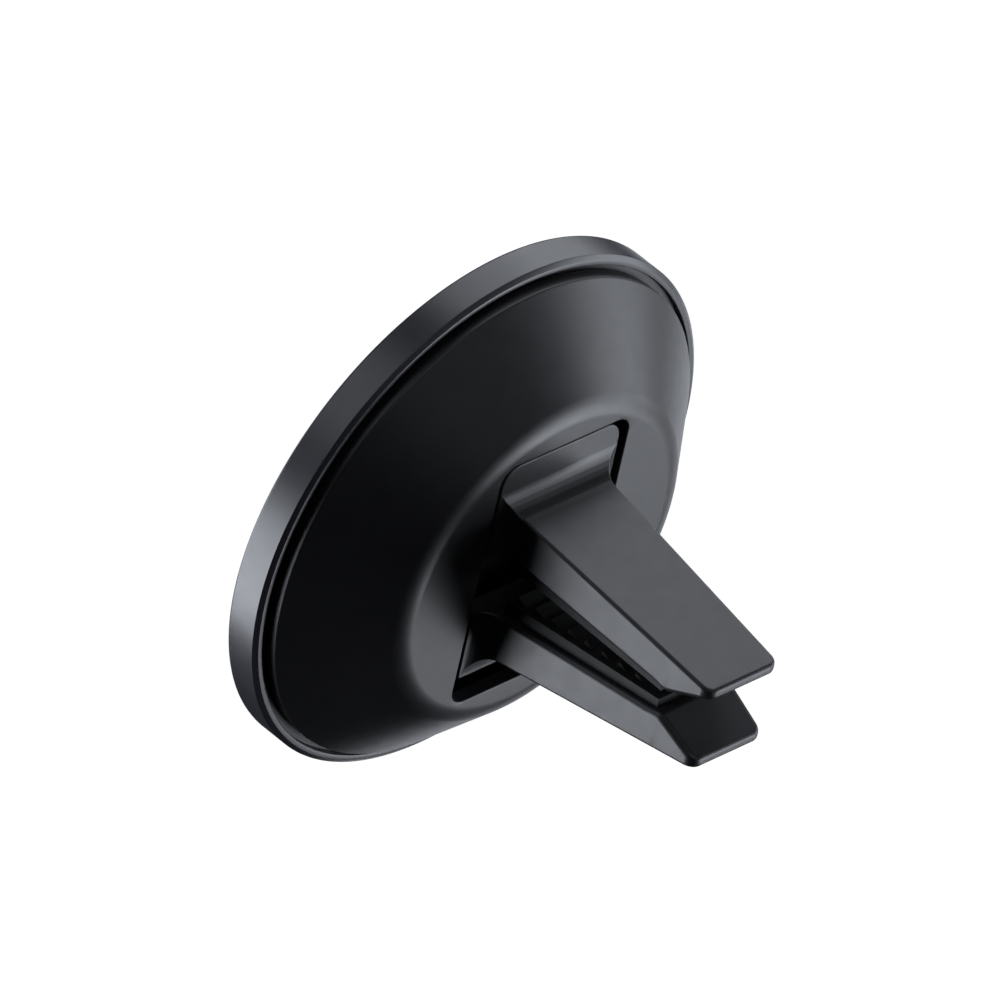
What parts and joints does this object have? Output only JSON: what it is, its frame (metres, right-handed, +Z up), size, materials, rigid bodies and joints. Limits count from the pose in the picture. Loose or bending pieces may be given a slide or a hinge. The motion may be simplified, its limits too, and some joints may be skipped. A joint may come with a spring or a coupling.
{
  "type": "car phone mount",
  "caption": "Magnetic phone mount for a car air vent: round turning puck, domed back shell and a sprung two-jaw clip with ribbed rubber grip pads.",
  "frame": {"origin": "middle of the grip between the two clip jaws, where a vent blade is held", "axes": "+Y from the phone's face towards the vent, +Z up in use, X along the vent blade"},
  "size_m": [0.06, 0.0418, 0.06],
  "materials": {
    "face_silicone": "soft matte silicone",
    "rim_satin": "satin charcoal moulding",
    "shell_plastic": "fine satin black moulding",
    "clip_plastic": "satin black moulding",
    "inner_plastic": "plain black moulding",
    "grip_rubber": "matte black rubber",
    "glide_plastic": "natural low-friction plastic",
    "steel": "plain bright steel",
    "spring_wire": "oil-tempered black spring wire",
    "magnet_nickel": "nickel-plated magnet"
  },
  "bodies": {
    "shell": {"back_shell": "shell_plastic", "carrier_plate": "inner_plastic", "glide_ring": "glide_plastic", "shell_screws": "steel", "clip_frame": "steel", "frame_rivets": "steel", "upper_jaw": "clip_plastic", "jaw_screws": "steel", "upper_jaw_pad": "grip_rubber", "hinge_pin": "steel", "pin_clips": "steel", "jaw_spring": "spring_wire"},
    "puck": {"front_pad": "face_silicone", "puck_cup": "rim_satin", "magnet_ring": "magnet_nickel", "shunt_ring": "steel", "puck_back": "inner_plastic", "spindle_washer": "steel", "spindle_screw": "steel", "wave_washer": "steel"},
    "lower_arm": {"lower_jaw": "clip_plastic", "lower_jaw_pad": "grip_rubber"}
  },
  "joints": [
    {"name": "puck_turn", "type": "hinge", "parent": "shell", "child": "puck", "pos_m": [0, -0.0248, 0], "axis": [0, 1, 0], "continuous": true},
    {"name": "jaw_swing", "type": "hinge", "parent": "shell", "child": "lower_arm", "pos_m": [0, -0.0168, -0.0085], "axis": [-1, 0, 0], "range_deg": [0, 14], "stiffness_Nm_per_rad": 0.6, "springref_deg": -14.32, "deforming": ["jaw_spring"]}
  ]
}
